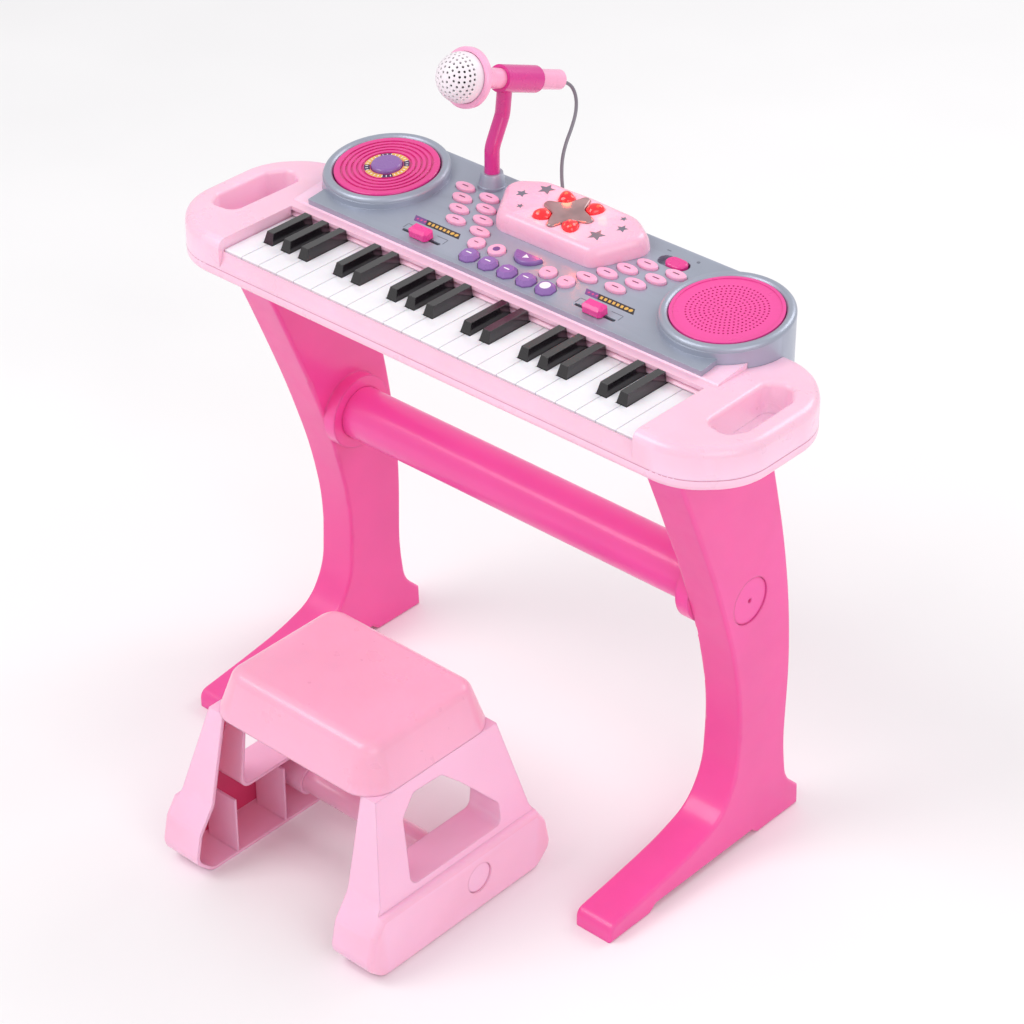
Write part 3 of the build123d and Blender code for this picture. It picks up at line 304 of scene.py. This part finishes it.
FINISHES = {
    "upper_case": shell_pink, "lower_case": shell_pink, "battery_door": shell_pink, "control_panel": silver,
    "left_buttons": pad_pink, "right_buttons": pad_pink, "drum_buttons": purple, "demo_button": purple,
    "tempo_knob": knob_pink, "volume_knob": knob_pink, "power_switch": knob_pink, "turntable": disc_pink,
    "turntable_button": purple, "speaker_grille": grille_pink, "speaker_driver": dark, "light_hump": hump_pink,
    "star_lens": smoked_lens(), "circuit_board": board_green, "key_frame": dark, "mic_stand": arm_pink,
    "mic_handle": ring_pink, "mic_grille": mic_white, "cord_grommet": cord_grey, "right_leg": leg_pink,
    "left_leg": leg_pink, "crossbar": leg_pink, "leg_plugs": leg_pink, "case_screws": steel,
    "stool_right_side": foot_pink, "stool_left_side": foot_pink, "stool_seat": seat_pink,
    "stool_crossbar": seat_pink, "stool_plugs": foot_pink,
}


def paint(piece, material):
    piece.data.materials.clear()
    piece.data.materials.append(material)
    for face in piece.data.polygons:
        face.material_index = 0


def paint_inside_shade(name, material):
    """The open back of a stool side, painted darker as painted shade: it is self-shadowed and lit only by light
    shining through its wall.
    """
    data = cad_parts[name].data
    data.materials.append(material)
    for face in data.polygons:
        x = face.center.x * 1000 - STOOL_X
        # inward-facing wall faces get the painted shade
        if abs(x) > STOOL_WALL_X and face.normal.x * x < 0 and abs(face.normal.x) > 0.3:
            face.material_index = 1


for name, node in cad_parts.items():
    if name.startswith("white_key"):
        paint(node, ivory)
    elif name.startswith("black_keys"):
        paint(node, black)
    elif name in FINISHES:
        paint(node, FINISHES[name])
paint_inside_shade("stool_right_side", painted_shade_pink)
paint_inside_shade("stool_left_side", painted_shade_pink)


# ------------------------------------------------------------------ mesh helpers
def mesh_piece(name, points, faces, material, body, smooth=True):
    data = bpy.data.meshes.new(name)
    data.from_pydata([tuple(p) for p in points], [], faces)
    data.validate()
    data.update()
    for face in data.polygons:
        face.use_smooth = smooth
    piece = bpy.data.objects.new(name, data)
    bpy.context.collection.objects.link(piece)
    data.materials.append(material)
    if body:
        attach(piece, body)
    return piece


def bands(rows, count, start=0):
    """Faces between closed rows of points that follow each other."""
    faces = []
    for row in range(rows - 1):
        for i in range(count):
            a, b = start + row * count + i, start + row * count + (i + 1) % count
            faces.append((a, b, b + count, a + count))
    return faces


def cap(rows, count, start=0):
    """Faces from the last row to the point after it."""
    last, centre = start + (rows - 1) * count, start + rows * count
    return [(last + i, last + (i + 1) % count, centre) for i in range(count)]


def surface_of(node):
    """Tree for finding the points of a CAD node's surface."""
    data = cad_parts[node].data
    return BVHTree.FromPolygons([v.co.copy() for v in data.vertices], [tuple(f.vertices) for f in data.polygons])


def decal(name, outlines, node, material, body, lift=0.12, rings=(1.0, 0.94, 0.62, 0.3)):
    """Printed shapes that lie on a CAD node, drawn on the deck plane and dropped on to the surface."""
    tree = surface_of(node)
    drop_height = 60
    points, faces = [], []
    for outline in outlines:
        middle = Vector((sum(p[0] for p in outline), sum(p[1] for p in outline))) / len(outline)
        start = len(points)
        for scale in rings + (0.0,):
            for x, y in outline if scale else [middle]:
                spot = middle + (Vector((x, y)) - middle) * scale
                hit = tree.ray_cast(deck(spot.x, spot.y, drop_height), -DECK_NORMAL)[0]
                base = hit if hit else deck(spot.x, spot.y)
                points.append(base + DECK_NORMAL * (0.0 if scale == 1.0 else lift / 1000))
        faces += bands(len(rings), len(outline), start) + cap(len(rings), len(outline), start)
    return mesh_piece(name, points, faces, material, body)


def disc(x, y, radius, sides=28):
    turns = [2 * pi * i / sides for i in range(sides)]
    return [(x + radius * cos(a), y + radius * sin(a)) for a in turns]


def bar(x, y, length, width, turn=0.0, lean=0.0):
    """Bar or, with a lean, a parallelogram, with a few points along its long sides."""
    steps = [-0.5, -0.25, 0, 0.25, 0.5]
    near = [(length * s - lean / 2, -width / 2) for s in steps]
    far = [(length * s + lean / 2, width / 2) for s in reversed(steps)]
    c, s = cos(radians(turn)), sin(radians(turn))
    return [(x + u * c - v * s, y + u * s + v * c) for u, v in near + far]


def star(x, y, outer, inner, arms=5, turn=90.0):
    points = []
    for i in range(2 * arms):
        radius = inner if i % 2 else outer
        angle = radians(turn + 180 * i / arms)
        points.append((x + radius * cos(angle), y + radius * sin(angle)))
    return points


def sector(x, y, inner, outer, start, end):
    angles = [radians(start + (end - start) * i / 5) for i in range(6)]
    far = [(x + outer * cos(a), y + outer * sin(a)) for a in angles]
    near = [(x + inner * cos(a), y + inner * sin(a)) for a in reversed(angles)]
    return far + near


# ------------------------------------------------------------------ petal lenses over the lamps
PETAL_RIM = 6.5  # lowest point of a CAD petal's top, above the lenses' underside
PETAL_PROFILE = [  # scale of the outline and height above the lenses' underside
    (1.0, 1), (1.0, 5.5), (0.97, 6.9), (0.9, 8.2), (0.76, 9.5), (0.56, 10.6), (0.32, 11.3), (0.12, 11.6),
]
PETAL_PEAK = 11.7


def petals():
    """Domes on the outlines of the CAD petals."""
    tops = []
    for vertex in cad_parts["petal_lenses"].data.vertices:
        offset = vertex.co - deck(0, STAR_Y)
        if offset.dot(DECK_NORMAL) * 1000 > LENS_BASE + PETAL_RIM:
            tops.append((offset.x * 1000, offset.dot(DECK_ALONG) * 1000))
    points, faces, heats = [], [], []
    for sx, sy in ((-1, -1), (-1, 1), (1, -1), (1, 1)):
        own = sorted({(round(x, 2), round(y, 2)) for x, y in tops if x * sx > 0 and y * sy > 0})
        cx, cy = sum(p[0] for p in own) / len(own), sum(p[1] for p in own) / len(own)
        own.sort(key=lambda p: atan2(p[1] - cy, p[0] - cx))
        start = len(points)
        for scale, height in PETAL_PROFILE:
            for x, y in own:
                points.append(deck(cx + (x - cx) * scale, STAR_Y + cy + (y - cy) * scale, LENS_BASE + height))
                heats.append(max(0.0, 1.0 - scale))
        points.append(deck(cx, STAR_Y + cy, LENS_BASE + PETAL_PEAK))
        heats.append(1.0)
        rows = len(PETAL_PROFILE)
        faces += bands(rows, len(own), start) + cap(rows, len(own), start)
    piece = mesh_piece("petal_domes", points, faces, lit_lens(), "console")
    heat = piece.data.attributes.new("heat", "FLOAT", "POINT")
    for i, value in enumerate(heats):
        heat.data[i].value = value
    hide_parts("petal_lenses")


def lamp_glow(x, y):
    glow = bpy.data.objects.new("lamp_glow", bpy.data.lights.new("lamp_glow", "POINT"))
    glow.data.color = (1.0, 0.1, 0.03)
    glow.data.energy = 0.012
    glow.data.shadow_soft_size = 0.004
    glow.location = deck(x, STAR_Y + y, 27)
    bpy.context.collection.objects.link(glow)


petals()
for sx in (-1, 1):
    for sy in (-1, 1):
        lamp_glow(sx * LAMP_AT, sy * LAMP_AT)

# ------------------------------------------------------------------ prints on the deck, buttons, hump and turntable
OVER_PRINT = 0.2  # lift of a print that lies on another one


def side_prints(side, body):
    """Marks on one side's buttons, the label over its slider and the brackets round the slider."""
    marks = [bar(side * x, y, 6.5, 1.1) for x, y in OUTER_BUTTONS + INNER_BUTTONS]
    marks += [bar(side * x, y, 4.5, 1.0) for x, y in (ROUND_BUTTONS if side > 0 else ROUND_BUTTONS[:1])]
    decal(body + "_marks", marks, body, ink_dash, body)
    if side < 0:
        dot_x, dot_y = ROUND_BUTTONS[1]
        decal(body + "_dot", [disc(side * dot_x, dot_y, 3.2)], body, ink_purple, body)
    strip = side * LABEL_X
    decal(body + "_label", [bar(strip + 7, LABEL_Y, 37, 7.0, lean=-4)], "control_panel", ink_dark, "console")
    start = [bar(strip - 18, LABEL_Y, 13, 7.0, lean=-4)]
    decal(body + "_label_start", start, "control_panel", ink_purple, "console")
    dashes = [bar(strip - 8 + 4.2 * i, LABEL_Y, 2.6, 3.4, lean=-1) for i in range(6)]
    dashes += [disc(strip + d, LABEL_Y, 1.9, 16) for d in (17.5, 22)]
    decal(body + "_label_gold", dashes, "control_panel", ink_gold, "console", OVER_PRINT)
    stars = [star(strip - 21 + 4 * i, LABEL_Y, 1.6, 0.7) for i in range(3)]
    decal(body + "_label_stars", stars, "control_panel", ink_rose, "console", OVER_PRINT)
    brackets = [bar(side * SLIDER_X + d, SLIDER_Y + 8.5, 12, 0.7) for d in (-16, 16)]
    brackets += [bar(side * SLIDER_X + d, SLIDER_Y + 5, 6.5, 0.7, turn=90) for d in (-22, 22)]
    decal(body + "_brackets", brackets, "control_panel", ink_grey, "console")


def turntable_prints():
    """Ring of gold and plum blocks round the turntable's button, with white ticks over it."""
    inner, outer, ticks_at = 14.3, 19.3, 17
    ring = [sector(-POD_X, 0, inner, outer, a, a + 30) for a in range(0, 360, 30)]
    for start, ink, word in ((0, ink_gold, "gold"), (1, ink_plum, "plum"), (2, ink_gold, "amber")):
        decal("turntable_ring_" + word, ring[start::3], "turntable", ink, "turntable", 0.1)
    ticks = []
    for angle in range(0, 360, 12):
        x, y = ticks_at * cos(radians(angle)), ticks_at * sin(radians(angle))
        ticks.append(bar(-POD_X + x, y, 2.4, 0.8, turn=angle))
    decal("turntable_ticks", ticks, "turntable", ink_white, "turntable", OVER_PRINT)


side_prints(-1, "left_buttons")
side_prints(1, "right_buttons")
power_marks = [disc(POWER_X + 22, POWER_Y, 1.6), bar(POWER_X - 8, POWER_Y, 4, 1.2)]
decal("power_marks", power_marks, "control_panel", ink_grey, "console")
drum_marks = [bar(DRUM_STEP * i, DRUM_Y, 5.5, 1.2) for i in range(-2, 2)]
decal("drum_disc", [disc(2 * DRUM_STEP, DRUM_Y, 4.6)], "drum_buttons", ink_white, "drum_buttons")
decal("drum_marks", drum_marks, "drum_buttons", ink_white, "drum_buttons")
decal("demo_mark", [star(0, -30, 3.4, 1.6, arms=3, turn=0)], "demo_button", ink_white, "demo_button")
hump_stars = [star(x, y, r, r * 0.48, turn=100) for x, y, r in HUMP_STARS]
decal("hump_stars", hump_stars, "light_hump", ink_grey, "console")
turntable_prints()


# ------------------------------------------------------------------ joint between the upper and the lower case
def shell_seam(count=720):
    """Thin darker strip round the case, where its halves meet."""
    tree = surface_of("lower_case")
    centre = place(0, 80, PART_LINE - 0.4)
    section = ((-0.3, -0.15), (0.1, -0.15), (0.1, 0.45), (-0.3, 0.45))  # out from the wall, and up
    points, faces = [], []
    for i in range(count):
        outward = Vector((cos(2 * pi * i / count), sin(2 * pi * i / count), 0))
        hit = tree.ray_cast(centre + outward, -outward)[0]
        points += [hit + (outward * depth + Vector((0, 0, rise))) / 1000 for depth, rise in section]
    for i in range(count):
        a, b = 4 * i, 4 * ((i + 1) % count)
        faces += [(a + k, b + k, b + (k + 1) % 4, a + (k + 1) % 4) for k in range(4)]
    mesh_piece("shell_seam", points, faces, seam_pink, "console", smooth=False)


shell_seam()


# ------------------------------------------------------------------ foam ball inside the microphone's dome
def foam_ball(rows=14, columns=32):
    points = []
    radius = MIC_BALL_R - 2.4
    for i in range(rows + 1):
        polar = radians(105) * i / rows
        for j in range(columns):
            turn = 2 * pi * j / columns
            bulge = radius * (1 + 0.008 * sin(9 * turn + 5 * i))
            out = bulge * sin(polar)
            points.append(mic(MIC_BALL_AT + bulge * cos(polar), out * cos(turn), out * sin(turn)))
    mesh_piece("mic_foam", points, bands(rows + 1, columns), foam, "microphone")


foam_ball()


# ------------------------------------------------------------------ the microphone's cord
def tube(name, path, radius, material, sides=16):
    """Round tube along a path, without twist, closed at both ends."""
    points = []
    across = (path[1] - path[0]).cross(Vector((1, 0, 0))).normalized()
    for i, spot in enumerate(path):
        ahead = (path[min(i + 1, len(path) - 1)] - path[max(i - 1, 0)]).normalized()
        across = (across - ahead * across.dot(ahead)).normalized()
        up = ahead.cross(across)
        for j in range(sides):
            turn = 2 * pi * j / sides
            points.append(spot + radius * (cos(turn) * across + sin(turn) * up))
    faces = bands(len(path), sides)
    faces.append(tuple(range(sides - 1, -1, -1)))
    faces.append(tuple(range(len(points) - sides, len(points))))
    return mesh_piece(name, points, faces, material, None)


def spline_points(corners):
    """Points of the NURBS curve with these control points."""
    curve = bpy.data.curves.new("route", "CURVE")
    curve.dimensions = "3D"
    spline = curve.splines.new("NURBS")
    spline.points.add(len(corners) - 1)
    for point, corner in zip(spline.points, corners):
        point.co = (*corner, 1)
    spline.order_u = 3
    spline.use_endpoint_u = True
    spline.resolution_u = 12
    carrier = bpy.data.objects.new("route", curve)
    bpy.context.collection.objects.link(carrier)
    line = bpy.data.meshes.new_from_object(carrier)
    spots = [v.co.copy() for v in line.vertices]
    bpy.data.objects.remove(carrier)
    bpy.data.curves.remove(curve)
    bpy.data.meshes.remove(line)
    return spots


route = spline_points([place(*p) for p in CORD_POINTS])
cord = tube("microphone_cord", route, CORD_R / 1000, cord_grey)
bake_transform(cord)
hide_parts("mic_cord")


# ------------------------------------------------------------------ floor
def paper_floor(half=6):
    data = bpy.data.meshes.new("floor")
    data.from_pydata([(-half, -half, 0), (half, -half, 0), (half, half, 0), (-half, half, 0)], [], [(0, 1, 2, 3)])
    paper, tree, shader = new_material("paper")
    cloud = mottled(tree, noise(tree, 3, 2), (0.9, 0.89, 0.9, 1), (0.93, 0.92, 0.93, 1))
    tree.links.new(cloud, shader.inputs["Base Color"])
    shader.inputs["Roughness"].default_value = 0.7
    data.materials.append(paper)
    piece = bpy.data.objects.new("floor", data)
    bpy.context.collection.objects.link(piece)


paper_floor()
